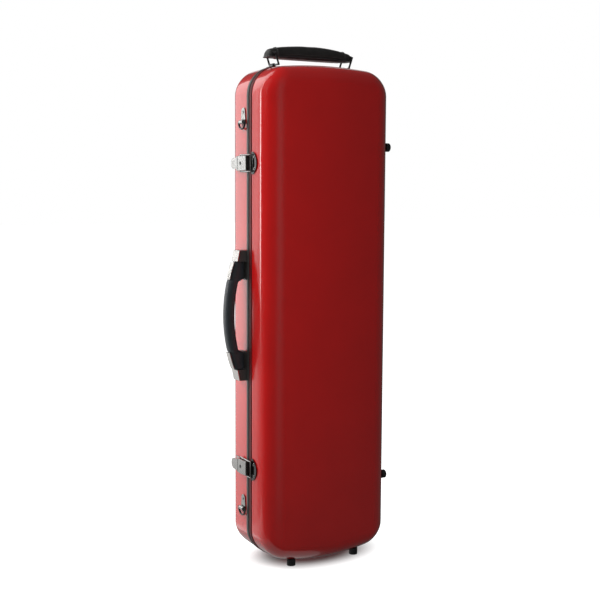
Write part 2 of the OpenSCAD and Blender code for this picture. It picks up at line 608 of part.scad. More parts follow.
module placed() translate([case_x, 0, 0]) children();
placed() base_shell();
placed() lid_shell();
placed() base_rim();
placed() lid_rim();
placed() rim_gasket();
placed() base_end_feet();
placed() lid_end_feet();
placed() base_side_feet();
placed() lid_side_feet();
placed() base_foot_screws();
placed() lid_foot_screws();
placed() hinge_upper_base_leaf();
placed() hinge_middle_base_leaf();
placed() hinge_lower_base_leaf();
placed() hinge_upper_lid_leaf();
placed() hinge_middle_lid_leaf();
placed() hinge_lower_lid_leaf();
placed() hinge_pins();
placed() base_rivets();
placed() lid_rivets();
placed() latch_upper_plate();
placed() latch_upper_pin();
placed() latch_upper_lever();
placed() latch_upper_lock();
placed() latch_upper_bail();
placed() latch_upper_catch();
placed() latch_lower_plate();
placed() latch_lower_pin();
placed() latch_lower_lever();
placed() latch_lower_lock();
placed() latch_lower_bail();
placed() latch_lower_catch();
placed() side_grip();
placed() side_grip_cap_upper();
placed() side_grip_cap_lower();
placed() side_mount_upper();
placed() side_mount_lower();
placed() side_mount_covers();
placed() side_handle_pins();
placed() end_pad();
placed() end_strap();
placed() end_bail_left();
placed() end_bail_right();
placed() end_bracket_left();
placed() end_bracket_right();
placed() strap_lug_upper();
placed() strap_lug_lower();
placed() strap_ring_upper();
placed() strap_ring_lower();
placed() foam_bed();
placed() neck_cradle();
placed() neck_strap();
placed() pocket_lid();
placed() pocket_lid_tab();
placed() lid_lining();
placed() bow_clip_seats();
placed() bow_clip_left();
placed() bow_clip_right();
placed() bow_sleeves();
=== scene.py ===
"""An oblong red violin case on a pale studio floor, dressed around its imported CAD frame."""
import json
import math

import bmesh
import bpy
import numpy as np
from mathutils import Matrix, Vector, noise

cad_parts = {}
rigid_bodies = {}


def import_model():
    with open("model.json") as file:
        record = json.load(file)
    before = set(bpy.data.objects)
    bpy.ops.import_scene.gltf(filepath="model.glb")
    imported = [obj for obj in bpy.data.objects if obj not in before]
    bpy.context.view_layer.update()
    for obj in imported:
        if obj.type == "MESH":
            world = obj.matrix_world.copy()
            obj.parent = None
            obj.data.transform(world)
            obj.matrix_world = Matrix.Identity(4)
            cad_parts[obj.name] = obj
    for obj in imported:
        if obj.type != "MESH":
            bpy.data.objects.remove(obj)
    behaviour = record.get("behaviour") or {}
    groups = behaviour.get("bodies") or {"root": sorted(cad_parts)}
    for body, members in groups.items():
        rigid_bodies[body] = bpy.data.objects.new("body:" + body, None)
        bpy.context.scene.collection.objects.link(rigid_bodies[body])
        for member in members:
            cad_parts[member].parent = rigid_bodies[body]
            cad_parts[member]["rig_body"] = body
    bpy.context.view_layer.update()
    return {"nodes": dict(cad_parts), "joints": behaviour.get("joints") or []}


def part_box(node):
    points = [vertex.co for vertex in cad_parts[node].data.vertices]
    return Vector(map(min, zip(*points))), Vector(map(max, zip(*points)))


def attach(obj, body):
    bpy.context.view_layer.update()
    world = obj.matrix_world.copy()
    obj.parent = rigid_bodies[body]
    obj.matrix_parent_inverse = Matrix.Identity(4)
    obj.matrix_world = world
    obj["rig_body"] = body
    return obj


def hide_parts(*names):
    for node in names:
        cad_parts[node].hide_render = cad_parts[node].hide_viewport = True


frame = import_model()
scene = bpy.context.scene
MM = 0.001

# ---- the frame's measures ----

base_lo, base_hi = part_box("base_shell")
MIDDLE_X = (base_lo.x + base_hi.x) / 2
HALF_W = (base_hi.x - base_lo.x) / 2
LOW, TOP = base_lo.z, base_hi.z
MID_Z, HEIGHT = (LOW + TOP) / 2, TOP - LOW
RIM_EDGE = base_lo.y
SIDE_X = base_lo.x                     # the handle side's surface
WALL = 3 * MM
DOME = math.radians(2.5)               # slope of the front and back where they meet their edge
DRAFT = math.radians(3)                # slope of the sides where they meet it
BASE_D, LID_D = 70 * MM, 66.5 * MM     # depths from the parting plane
BASE_R, LID_R = 23 * MM, 32 * MM       # radii of the edges round the back and the front
TOP_CORNER, LOW_CORNER = 39 * MM, 35 * MM
TOP_CROWN, LOW_CROWN = 8.2 * MM, 17.5 * MM     # how far the ends' corners fall away


def joint_at(name):
    return Vector(next(j for j in frame["joints"] if j["name"] == name)["pos_m"])


# ---- the camera ----

AZIMUTH, ELEVATION, ROLL = math.radians(29.28), math.radians(5.91), math.radians(0.29)
DISTANCE, LENS, SENSOR = 1.7816, 66.95, 36
AIM_ASIDE, AIM_HEIGHT = -17.7 * MM, 413.5 * MM

look = Vector((math.sin(AZIMUTH) * math.cos(ELEVATION), math.cos(AZIMUTH) * math.cos(ELEVATION),
               -math.sin(ELEVATION)))
level = Vector((math.cos(AZIMUTH), -math.sin(AZIMUTH), 0))
upright = level.cross(look)
right = level * math.cos(ROLL) + upright * math.sin(ROLL)
up = upright * math.cos(ROLL) - level * math.sin(ROLL)
eye = Vector((MIDDLE_X, 0, AIM_HEIGHT)) + right * AIM_ASIDE - look * DISTANCE
camera = bpy.data.objects.new("camera", bpy.data.cameras.new("camera"))
scene.collection.objects.link(camera)
camera.data.lens, camera.data.sensor_width = LENS, SENSOR
camera.matrix_world = Matrix.Translation(eye) @ Matrix((right, up, -look)).transposed().to_4x4()
scene.camera = camera
scene.view_settings.view_transform = "Standard"


# ---- light and floor ----

WORLD_DIM = 0.08                       # what surfaces get from all round; the camera sees white
FLOOR_SIZE, FLOOR_GREY, FLOOR_ROUGH, FLOOR_SPECULAR = 14, 0.4, 0.6, 0.1
SHADOW_FROM, SHADOW_TO = 0.5, 1.3      # where the painted shadow fades out, in half widths of the case
SHADOW_GLOW, FLOOR_GLOW = 0.02, 1.1    # the floor's own glow under the case, dimmed there into a painted shadow, and beyond it


def set_inputs(node, values):
    for socket, value in values.items():
        node.inputs[socket].default_value = value


def softbox(name, place, turn, width, height, radiance, fade=1.0, full=1.0):
    """A rectangular light. Its lower edge has fade times its radiance, which grows to all of it
    at the share of its height that full gives."""
    light = bpy.data.lights.new(name, "AREA")
    light.shape, light.size, light.size_y = "RECTANGLE", width, height
    light.energy = math.pi * radiance * width * height
    light.use_nodes = True
    tree = light.node_tree
    glow = tree.nodes["Emission"]
    where = tree.nodes.new("ShaderNodeNewGeometry")
    split = tree.nodes.new("ShaderNodeSeparateXYZ")
    ramp = tree.nodes.new("ShaderNodeMapRange")
    ramp.interpolation_type = "SMOOTHSTEP"
    set_inputs(ramp, {"From Min": 1.0 - full, "From Max": 1.0, "To Min": 1.0, "To Max": fade})
    tree.links.new(where.outputs["Parametric"], split.inputs[0])
    tree.links.new(split.outputs["Y"], ramp.inputs["Value"])
    tree.links.new(ramp.outputs["Result"], glow.inputs["Strength"])
    lamp = bpy.data.objects.new(name, light)
    scene.collection.objects.link(lamp)
    lamp.location, lamp.rotation_euler = place, turn
    lamp.visible_camera = False
    return lamp


def panel(name, azimuth, distance, low, high, width, radiance, fade=1.0, full=1.0):
    """An upright softbox that faces the case. Azimuth 0 is along +Y from it, and 90 along -X."""
    a = math.radians(azimuth)
    place = (MIDDLE_X - math.sin(a) * distance, math.cos(a) * distance, (low + high) / 2)
    return softbox(name, place, (-math.pi / 2, 0, a), width, high - low, radiance, fade, full)


def light_the_studio():
    """A white backdrop, panels that the side and edges mirror, and fills that nothing mirrors."""
    world = bpy.data.worlds.new("studio")
    scene.world = world
    world.use_nodes = True
    tree = world.node_tree
    dim = tree.nodes["Background"]
    backdrop = tree.nodes.new("ShaderNodeBackground")
    seen = tree.nodes.new("ShaderNodeLightPath")
    mix = tree.nodes.new("ShaderNodeMixShader")
    set_inputs(dim, {"Color": (1, 1, 1, 1), "Strength": WORLD_DIM})
    set_inputs(backdrop, {"Color": (1, 1, 1, 1), "Strength": 1.0})
    tree.links.new(seen.outputs["Is Camera Ray"], mix.inputs["Fac"])
    tree.links.new(dim.outputs[0], mix.inputs[1])
    tree.links.new(backdrop.outputs[0], mix.inputs[2])
    tree.links.new(mix.outputs[0], tree.nodes["World Output"].inputs["Surface"])
    # name, azimuth, distance, low end, high end, width, radiance, fade, full
    panel("back_left", 19.5, 2.2, -0.6, 4.0, 0.84, 1.35, 0.45, 0.207)
    panel("back_left_low", 19.5, 2.2, -1.1, -0.6, 0.84, 0.6)
    panel("back_left_edge", 32.5, 2.2, -1.0, 1.9, 0.12, 0.5, 0.3, 0.55)
    panel("strip_left", 37.6, 2.0, 0.0, 4.0, 0.08, 6.5, 0.0, 0.135)
    panel("back_right", 330, 2.2, -0.6, 2.5, 1.0, 0.6)
    softbox("floor_glow", (MIDDLE_X - 0.6, 0.5, -0.4), (math.pi, 0, 0), 1.6, 1.6, 0.3)
    for fill in (panel("key_left", 62, 1.1, 0.85, 2.1, 0.9, 6.6),
                 panel("near_fill", 149, 0.386, 0.0, 1.15, 0.15, 1.8, 0.5, 0.5),
                 panel("side_fill", 45, 0.6, -0.3, 0.4, 0.4, 5.2),
                 panel("front_fill", 170, 2.0, 0.2, 1.8, 2.0, 0.12),
                 softbox("floor_bounce", (MIDDLE_X, -0.5, 2 * MM), (math.pi, 0, 0),
                         1.3, 0.8, 0.22),
                 softbox("overhead", (MIDDLE_X, 0, 2.9), (0, 0, 0), 4.5, 4.5, 0.4)):
        fill.visible_glossy = False


light_the_studio()


def make_floor():
    """A floor that glows everywhere but under the case, where the missing glow paints a shadow, so
    that it is white beyond the shadow.
    """
    mesh = bpy.data.meshes.new("floor")
    size = FLOOR_SIZE
    mesh.from_pydata([(-size, -size, 0), (size, -size, 0), (size, size, 0), (-size, size, 0)],
                     [], [(0, 1, 2, 3)])
    floor = bpy.data.objects.new("floor", mesh)
    scene.collection.objects.link(floor)
    floor.visible_glossy = floor.visible_diffuse = False
    material = bpy.data.materials.new("floor")
    material.use_nodes = True
    shader = material.node_tree.nodes["Principled BSDF"]
    set_inputs(shader, {"Base Color": (FLOOR_GREY, FLOOR_GREY, FLOOR_GREY, 1),
                        "Roughness": FLOOR_ROUGH, "Specular IOR Level": FLOOR_SPECULAR,
                        "Emission Color": (1, 1, 1, 1)})
    tree = material.node_tree
    where = tree.nodes.new("ShaderNodeTexCoord")
    place = tree.nodes.new("ShaderNodeMapping")
    set_inputs(place, {"Location": (-MIDDLE_X / HALF_W, 0, 0),
                       "Scale": (1 / HALF_W, 1 / BASE_D, 1)})
    reach = tree.nodes.new("ShaderNodeVectorMath")
    reach.operation = "LENGTH"
    # painted shadow: the glow falls to almost nothing in an ellipse round the case's footprint
    glow = tree.nodes.new("ShaderNodeMapRange")
    glow.interpolation_type = "SMOOTHSTEP"
    set_inputs(glow, {"From Min": SHADOW_FROM, "From Max": SHADOW_TO,
                      "To Min": SHADOW_GLOW, "To Max": FLOOR_GLOW})
    tree.links.new(where.outputs["Object"], place.inputs["Vector"])
    tree.links.new(place.outputs["Vector"], reach.inputs[0])
    tree.links.new(reach.outputs["Value"], glow.inputs["Value"])
    tree.links.new(glow.outputs["Result"], shader.inputs["Emission Strength"])
    mesh.materials.append(material)


make_floor()


# ---- materials ----

MIX_SHARE, LOW_COLOUR, HIGH_COLOUR, MIXED_COLOUR = 0, 6, 7, 2    # a colour Mix node's sockets


class Surface:
    """A material whose colour, roughness and bump vary over the surface in object space."""

    def __init__(self, name, colour, rough, metal=0.0, coat=0.0, coat_rough=0.03, sheen=0.0,
                 ior=1.5):
        self.material = bpy.data.materials.new(name)
        self.material.use_nodes = True
        self.tree = self.material.node_tree
        self.shader = self.tree.nodes["Principled BSDF"]
        self.place = self.tree.nodes.new("ShaderNodeTexCoord").outputs["Object"]
        set_inputs(self.shader, {"Metallic": metal, "Coat Weight": coat,
                                 "Coat Roughness": coat_rough, "Sheen Weight": sheen, "IOR": ior,
                                 "Base Color": (*colour, 1), "Roughness": rough})
        self.height = None

    def new(self, kind, **inputs):
        made = self.tree.nodes.new("ShaderNode" + kind)
        set_inputs(made, inputs)
        return made

    def link(self, a, b):
        self.tree.links.new(a, b)

    def noise(self, scale, detail=4.0, stretch=(1, 1, 1), roughness=0.5):
        mapping = self.new("Mapping", Scale=stretch)
        self.link(self.place, mapping.inputs["Vector"])
        made = self.new("TexNoise", Scale=scale, Detail=detail, Roughness=roughness)
        self.link(mapping.outputs["Vector"], made.inputs["Vector"])
        return made.outputs["Fac"]

    def cells(self, scale, feature="F1"):
        made = self.new("TexVoronoi", Scale=scale)
        made.feature = feature
        self.link(self.place, made.inputs["Vector"])
        return made.outputs["Distance"]

    def ramp(self, value, low, high, to_low=0.0, to_high=1.0):
        made = self.new("MapRange")
        set_inputs(made, {"From Min": low, "From Max": high, "To Min": to_low, "To Max": to_high})
        self.link(value, made.inputs["Value"])
        return made.outputs["Result"]

    def mix(self, value, low):
        """Mixes the base colour from low to whatever is put into the node's second colour socket."""
        made = self.new("Mix")
        made.data_type = "RGBA"
        made.inputs[LOW_COLOUR].default_value = (*low, 1)
        self.link(value, made.inputs[MIX_SHARE])
        self.link(made.outputs[MIXED_COLOUR], self.shader.inputs["Base Color"])
        return made

    def vary_colour(self, value, low, high):
        self.mix(value, low).inputs[HIGH_COLOUR].default_value = (*high, 1)
        return self

    def vary_rough(self, value, low, high):
        self.link(self.ramp(value, 0.3, 0.7, low, high), self.shader.inputs["Roughness"])
        return self

    def bump(self, value, distance, strength):
        made = self.new("Bump", Strength=strength, Distance=distance)
        self.link(value, made.inputs["Height"])
        if self.height is not None:
            self.link(self.height, made.inputs["Normal"])
        self.height = made.outputs["Normal"]
        self.link(self.height, self.shader.inputs["Normal"])
        return self


def tint(colour, by):
    return tuple(min(1.0, c * by) for c in colour)


def lacquer():
    red = (0.50, 0.0045, 0.004)
    s = Surface("red_lacquer", red, 0.22, coat=1.0, coat_rough=0.015)
    s.vary_colour(s.ramp(s.noise(14, 3), 0.3, 0.7), tint(red, 0.95), tint(red, 1.04))
    s.vary_rough(s.noise(220, 2), 0.18, 0.26)
    return s.bump(s.noise(95, 1.5), 0.00002, 0.35).material


def rim_finish(name, colour, rough, coat):
    s = Surface(name, colour, rough, coat=coat, coat_rough=0.2)
    s.vary_colour(s.noise(60), tint(colour, 0.85), tint(colour, 1.15))
    s.vary_rough(s.noise(240, 3), rough - 0.06, rough + 0.08)
    return s.bump(s.noise(900, 2), 0.00004, 0.4).material


def rubber():
    dark = (0.016, 0.016, 0.017)
    s = Surface("rubber", dark, 0.62, ior=1.45)
    s.vary_colour(s.noise(90), tint(dark, 0.7), tint(dark, 1.6))
    s.vary_rough(s.noise(300), 0.55, 0.72)
    return s.bump(s.noise(1600, 3), 0.00006, 0.5).material


def nickel(name="nickel", silver=(0.60, 0.595, 0.58)):
    """Plated metal, with painted shade that darkens it to near black where two surfaces meet."""
    s = Surface(name, silver, 0.16, metal=1.0)
    s.vary_colour(s.noise(130, 5), tint(silver, 0.82), tint(silver, 1.05))
    plain = s.shader.inputs["Base Color"].links[0].from_socket
    # painted shade: ambient occlusion darkens the colour to near black in crevices and where parts
    # meet
    crevice = s.new("AmbientOcclusion", Distance=2.5 * MM)
    crevice_shade = s.mix(s.ramp(crevice.outputs["AO"], 0.45, 0.95), tint(silver, 0.04))
    s.link(plain, crevice_shade.inputs[HIGH_COLOUR])
    s.vary_rough(s.noise(420, 4, (1, 1, 6)), 0.1, 0.24)
    return s.bump(s.noise(700, 2, (1, 1, 5)), 0.00002, 0.4).material


def enamel():
    black = (0.012, 0.012, 0.013)
    s = Surface("black_enamel", black, 0.28, coat=0.4, coat_rough=0.12)
    s.vary_colour(s.noise(200), tint(black, 0.7), tint(black, 2.0))
    s.vary_rough(s.noise(350), 0.22, 0.4)
    return s.bump(s.noise(900), 0.00003, 0.4).material


def moulding(name, black, rough):
    s = Surface(name, black, rough)
    s.vary_colour(s.noise(110), tint(black, 0.75), tint(black, 1.35))
    s.vary_rough(s.noise(260), rough - 0.06, rough + 0.08)
    return s.bump(s.cells(900), 0.00005, 0.35).material


def hide(name, black=(0.014, 0.0135, 0.013)):
    s = Surface(name, black, 0.48, coat=0.12, coat_rough=0.3)
    s.vary_colour(s.noise(160, 5), tint(black, 0.6), tint(black, 1.9))
    s.vary_rough(s.noise(420, 4), 0.4, 0.58)
    grain = s.cells(620, feature="DISTANCE_TO_EDGE")
    s.bump(s.ramp(grain, 0.0, 0.16), 0.00018, 0.55)
    return s.bump(s.noise(240, 3), 0.0002, 0.25).material


def pile(name):
    """The short fibres of the plush, without its larger unevenness."""
    grey = (0.085, 0.088, 0.102)
    s = Surface(name, grey, 0.95, sheen=0.8)
    s.shader.inputs["Sheen Roughness"].default_value = 0.45
    s.vary_colour(s.noise(45, 6, roughness=0.65), tint(grey, 0.6), tint(grey, 1.5))
    s.vary_rough(s.noise(500), 0.85, 1.0)
    return s.bump(s.noise(1500, 3), 0.0006, 0.6)


def plush():
    s = pile("plush")
    return s.bump(s.noise(60, 4), 0.0012, 0.3).material


def webbing():
    black = (0.02, 0.02, 0.022)
    s = Surface("webbing", black, 0.8, sheen=0.4)
    weave = s.new("TexWave", Scale=520.0, Distortion=0.4)
    s.link(s.place, weave.inputs["Vector"])
    s.vary_colour(weave.outputs["Fac"], tint(black, 0.5), tint(black, 1.8))
    s.vary_rough(s.noise(300), 0.7, 0.9)
    return s.bump(weave.outputs["Fac"], 0.0002, 0.6).material


SEAM_PITCH_X, SEAM_PITCH_Z, SEAM_HALF = 60 * MM, 150 * MM, 4 * MM


def lining():
    """Plush with sewn lines along the case and across it."""
    s = pile("lining_plush")
    split = s.new("SeparateXYZ")
    s.link(s.place, split.inputs[0])
    for axis, pitch, shift in (("X", SEAM_PITCH_X, MIDDLE_X), ("Z", SEAM_PITCH_Z, MID_Z)):
        turn = s.new("Math")
        turn.operation = "PINGPONG"
        turn.inputs[1].default_value = pitch / 2
        move = s.new("Math")
        move.operation = "ADD"
        move.inputs[1].default_value = 10 * pitch - shift
        s.link(split.outputs[axis], move.inputs[0])
        s.link(move.outputs[0], turn.inputs[0])
        s.bump(s.ramp(turn.outputs[0], 0.0, SEAM_HALF), 0.0016, 0.7)
    return s.material


def thread():
    grey = (0.05, 0.05, 0.052)
    s = Surface("thread", grey, 0.6, sheen=0.3)
    s.vary_colour(s.noise(900), tint(grey, 0.6), tint(grey, 1.6))
    return s.bump(s.noise(2500, 2), 0.0001, 0.6).material


def cording():
    black = (0.02, 0.02, 0.022)
    s = Surface("cording", black, 0.6, sheen=0.3)
    s.vary_colour(s.noise(400), tint(black, 0.6), tint(black, 1.8))
    return s.bump(s.noise(1400, 3, (1, 1, 0.4)), 0.0002, 0.6).material


RED = lacquer()
BASE_RIM = rim_finish("base_rim", (0.04, 0.041, 0.039), 0.42, 0.2)
LID_RIM = rim_finish("lid_rim", (0.085, 0.006, 0.007), 0.5, 0.0)
RUBBER = rubber()
NICKEL = nickel()
DARK_NICKEL = nickel("dark_nickel", (0.13, 0.13, 0.13))
SATIN_NICKEL = nickel("satin_nickel", (0.74, 0.72, 0.69))
ENAMEL = enamel()
GRIP = moulding("grip_plastic", (0.026, 0.030, 0.034), 0.34)
MOUNT = moulding("mount_plastic", (0.045, 0.041, 0.039), 0.42)
LEATHER = hide("black_leather")
PLUSH = plush()
WEBBING = webbing()
LINING = lining()
THREAD = thread()
CORDING = cording()
PIPING = hide("leather_piping", (0.03, 0.03, 0.031))
UNDERSIDE = hide("leather_underside", (0.07, 0.07, 0.072))


# ---- mesh tools ----

def add(name, bm, material, body, node=None, smooth_angle=35):
    """Makes a piece from bm, lets it ride on its body, and hides the CAD node that it stands for."""
    mesh = bpy.data.meshes.new(name)
    bm.to_mesh(mesh)
    bm.free()
    for polygon in mesh.polygons:
        polygon.use_smooth = True
    mesh.set_sharp_from_angle(angle=math.radians(smooth_angle))
    mesh.materials.append(material)
    piece = bpy.data.objects.new(name, mesh)
    scene.collection.objects.link(piece)
    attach(piece, body)
    if node is not None:
        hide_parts(node)
    return piece


def apply_modifiers(piece):
    graph = bpy.context.evaluated_depsgraph_get()
    mesh = bpy.data.meshes.new_from_object(piece.evaluated_get(graph))
    piece.modifiers.clear()
    piece.data = mesh


def join_rings(bm, a, b):
    """Faces between two rings of as many points."""
    for i in range(len(a)):
        j = (i + 1) % len(a)
        bm.faces.new((a[i], a[j], b[j], b[i]))


def loft(loops, closed_along=False):
    """A skin through loops of points, each loop as long as the next, with a cap at either end
    unless it closes along its length."""
    bm = bmesh.new()
    rings = [[bm.verts.new(p) for p in loop] for loop in loops]
    spans = list(zip(rings, rings[1:])) + ([(rings[-1], rings[0])] if closed_along else [])
    for a, b in spans:
        join_rings(bm, a, b)
    if not closed_along:
        bm.faces.new(rings[0][::-1])
        bm.faces.new(rings[-1])
    bmesh.ops.recalc_face_normals(bm, faces=bm.faces)
    return bm


# ---- the shells' shape ----

SIDE_ROWS, BEND_ROWS = 8, 5
FACE_END = 0.4 * MM                    # where the face's last loop stops short of the middle


def quarter(cx, cz, r, start, n):
    a = np.radians(start + 90 * np.arange(n) / n)
    return np.stack([cx + r * np.cos(a), cz + r * np.sin(a)], 1)


def straight(a, b, n):
    t = np.arange(n)[:, None] / n
    return np.array(a) * (1 - t) + np.array(b) * t


def corner(radius, inset, width):
    """The corner radius inset inside the outline. It grows again towards the middle, so that the
    face has no crease."""
    return max(radius - inset, min(0.45 * inset, 0.5 * width))


def outline(inset, arc=26, across=26, along=44):
    """The crowned outline in X and Z, inset inside the shells' outline, as evenly spread points."""
    w, lo, hi = HALF_W - inset, LOW + inset, TOP - inset
    rt, rl = corner(TOP_CORNER, inset, w), corner(LOW_CORNER, inset, w)
    points = np.concatenate([
        quarter(w - rl, lo + rl, rl, -90, arc), straight((w, lo + rl), (w, hi - rt), along),
        quarter(w - rt, hi - rt, rt, 0, arc), straight((w - rt, hi), (rt - w, hi), across),
        quarter(rt - w, hi - rt, rt, 90, arc), straight((-w, hi - rt), (-w, lo + rl), along),
        quarter(rl - w, lo + rl, rl, 180, arc), straight((rl - w, lo), (w - rl, lo), across)])
    share = (points[:, 0] / HALF_W) ** 2 * ((points[:, 1] - MID_Z) / (HEIGHT / 2)) ** 2
    points[:, 1] += np.where(points[:, 1] > MID_Z, -TOP_CROWN, LOW_CROWN) * share
    return points


def case_loop(distance, inset, way):
    """The outline at a distance from the parting plane. way is +1 in the base and -1 in the lid."""
    p = outline(inset)
    return np.stack([p[:, 0] + MIDDLE_X, way * distance + 0 * p[:, 0], p[:, 1]], 1)


def skin_rows(depth, radius, t, start, arc=24, face=16):
    """[distance, inset] rows of one surface, t inside the outer one: side, rounded edge and
    domed face."""
    r = radius - t
    rise = math.cos(DOME) - math.sin(DRAFT)
    flat = depth - t - r * rise
    lean = math.tan(DRAFT) * (flat - start) / 2
    rows = [(start + (flat - start) * u, t + lean * u * u)
            for u in (k / SIDE_ROWS for k in range(SIDE_ROWS + 1))]
    turn = math.pi / 2 - DOME - DRAFT
    for k in range(1, arc + 1):
        a = DRAFT + turn * k / arc
        rows.append((flat + r * (math.sin(a) - math.sin(DRAFT)),
                     t + lean + r * (math.cos(DRAFT) - math.cos(a))))
    edge, inset = rows[-1]
    span = HALF_W - FACE_END - inset
    for k in range(1, face + 1):
        s = span * k / face
        rows.append((edge + math.tan(DOME) * (s - s * s / (2 * span)), inset + s))
    return rows


def shell_loops(depth, radius, way, t, start):
    return [case_loop(d, inset, way) for d, inset in skin_rows(depth, radius, t, start)]


def make_shell(name, node, depth, radius, way, body):
    """A shell between its outer surface and one a wall's thickness inside it."""
    outer = shell_loops(depth, radius, way, 0.0, RIM_EDGE)
    inner = shell_loops(depth, radius, way, WALL, RIM_EDGE)
    add(name, loft(outer[::-1] + inner), RED, body, node, 60)


make_shell("base_skin", "base_shell", BASE_D, BASE_R, 1, "base")
make_shell("lid_skin", "lid_shell", LID_D, LID_R, -1, "lid")


def make_rim(name, node, way, body, material):
    """A rim that stands proud of its shell, with both its outer corners rounded by bend."""
    lo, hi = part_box(node)
    near, far = sorted((abs(lo.y), abs(hi.y)))
    proud, deep, bend = 1.0 * MM, 4 * MM, 0.9 * MM
    section = [(far, deep), (near, deep), (near, bend - proud)]
    section += [(near + bend * (1 - math.cos(a)), bend * (1 - math.sin(a)) - proud)
                for a in (math.pi / 2 * k / BEND_ROWS for k in range(1, BEND_ROWS + 1))]
    section += [(far - bend * (1 - math.cos(a)), bend * (1 - math.sin(a)) - proud)
                for a in (math.pi / 2 * (1 - k / BEND_ROWS) for k in range(BEND_ROWS + 1))]
    loops = [case_loop(d, inset, way) for d, inset in section]
    add(name, loft(loops, closed_along=True), material, body, node, 40)


make_rim("base_edge", "base_rim", 1, "base", BASE_RIM)
make_rim("lid_edge", "lid_rim", -1, "lid", LID_RIM)


# ---- hardware taken from the CAD, with its edges rounded ----

SAME_POINT, FLAT_ANGLE, SHARP_ANGLE = 1e-6, math.radians(1.5), 38


def refined(node, material, width, segments=2):
    """A copy of a CAD node whose sharp edges are rounded, which stands for the node."""
    source = frame["nodes"][node]
    bm = bmesh.new()
    bm.from_mesh(source.data)
    bmesh.ops.remove_doubles(bm, verts=bm.verts, dist=SAME_POINT)
    bmesh.ops.dissolve_limit(bm, angle_limit=FLAT_ANGLE, verts=bm.verts, edges=bm.edges)
    piece = add(node + "_fine", bm, material, source["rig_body"], node, SHARP_ANGLE)
    bevel = piece.modifiers.new("bevel", "BEVEL")
    bevel.width, bevel.segments, bevel.limit_method = width, segments, "ANGLE"
    bevel.angle_limit = math.radians(SHARP_ANGLE)
    bevel.use_clamp_overlap = True
    apply_modifiers(piece)


for where in ("upper", "lower"):
    for part, edge in (("plate", 0.25), ("pin", 0.2), ("lever", 0.45), ("bail", 0.1)):
        refined(f"latch_{where}_{part}", NICKEL, edge * MM)
    refined(f"latch_{where}_lock", DARK_NICKEL, 0.2 * MM)
    refined(f"latch_{where}_catch", DARK_NICKEL, 0.5 * MM)
    refined(f"side_grip_cap_{where}", SATIN_NICKEL, 0.4 * MM)
    refined(f"side_mount_{where}", MOUNT, 0.6 * MM)
    refined(f"strap_lug_{where}", NICKEL, 0.3 * MM)
    refined(f"strap_ring_{where}", ENAMEL, 0.1 * MM)
for where in ("upper", "middle", "lower"):
    for side in ("base", "lid"):
        refined(f"hinge_{where}_{side}_leaf", NICKEL, 0.3 * MM)
for side in ("base", "lid"):
    refined(f"{side}_rivets", NICKEL, 0.15 * MM)
    refined(f"{side}_foot_screws", NICKEL, 0.2 * MM)
    refined(f"{side}_end_feet", RUBBER, 1.2 * MM, 4)
    refined(f"{side}_side_feet", RUBBER, 1.2 * MM, 4)
for side in ("left", "right"):
    refined(f"end_bail_{side}", ENAMEL, 0.1 * MM)
    refined(f"end_bracket_{side}", ENAMEL, 0.4 * MM)
    refined(f"bow_clip_{side}", MOUNT, 0.8 * MM, 3)
refined("side_mount_covers", SATIN_NICKEL, 0.4 * MM)
refined("hinge_pins", NICKEL, 0.2 * MM)
refined("side_handle_pins", NICKEL, 0.2 * MM)
refined("bow_clip_seats", MOUNT, 0.5 * MM)
refined("rim_gasket", RUBBER, 0.1 * MM)


# ---- soft goods ----

STITCH, STITCH_PITCH, THREAD_R = 2.6 * MM, 4.1 * MM, 0.34 * MM
STITCH_RINGS = ((-0.5, 0.25), (-0.3, 0.9), (0, 1.0), (0.3, 0.9), (0.5, 0.25))    # place, thickness
THREAD_SIDES = 6
CLOTH_FRAMES, CLOTH_QUALITY, CLOTH_MASS, CLOTH_PRESSURE = 20, 6, 0.2, 4.0
STRAP_POINTS, STRAP_POWER = 20, 0.3    # a strap's section, nearly a rectangle
BOTH_FACES = (("front", -1), ("back", 1))
X_AXIS, Y_AXIS, Z_AXIS = Vector((1, 0, 0)), Vector((0, 1, 0)), Vector((0, 0, 1))


def eased(value, low, high):
    """0 up to low, 1 from high on, and a smooth step between them."""
    t = min(1.0, max(0.0, (value - low) / (high - low)))
    return t * t * (3 - 2 * t)


def round_section(radius, count=8):
    angles = [2 * math.pi * k / count for k in range(count)]
    return [(radius * math.cos(a), radius * math.sin(a)) for a in angles]


def fuller(value, power):
    """A cosine or sine, raised to a power, with its sign kept."""
    return math.copysign(abs(value) ** power, value)


def squarish(half_a, half_b, count, power):
    """A rounded rectangle, as a superellipse."""
    section = []
    for k in range(count):
        c, s = math.cos(2 * math.pi * k / count), math.sin(2 * math.pi * k / count)
        section.append((fuller(c, power) * half_a, fuller(s, power) * half_b))
    return section


def sweep(path, section, across, closed=False):
    """Loops of points: the section's (across, out) pairs carried along a path."""
    path, across, loops = [Vector(p) for p in path], Vector(across), []
    last = len(path) - 1
    for i, p in enumerate(path):
        ahead = path[(i + 1) % len(path)] if closed else path[min(i + 1, last)]
        along = (ahead - path[i - 1 if closed else max(i - 1, 0)]).normalized()
        side = (across - along * across.dot(along)).normalized()
        out = along.cross(side)
        loops.append([p + side * a + out * b for a, b in section])
    return loops


def add_cord(name, path, radius, across, material, body, closed=True):
    """A round cord along a path, as a piece."""
    bm = loft(sweep(path, round_section(radius), across, closed), closed_along=closed)
    add(name, bm, material, body, smooth_angle=60)


def add_strap(name, path, half, thickness, across, material, body, node=None):
    """A flat strap along a path, as a piece. half is half its width."""
    bm = loft(sweep(path, squarish(half, thickness / 2, STRAP_POINTS, STRAP_POWER), across))
    add(name, bm, material, body, node, 50)


def spread(path, pitch, closed=False):
    """Points at an even pitch along a path, each with the path's direction there."""
    path = [Vector(p) for p in path] + ([Vector(path[0])] if closed else [])
    spots, left = [], pitch / 2
    for a, b in zip(path, path[1:]):
        length = (b - a).length
        while left < length:
            spots.append((a.lerp(b, left / length), (b - a).normalized()))
            left += pitch
        left -= length
    return spots


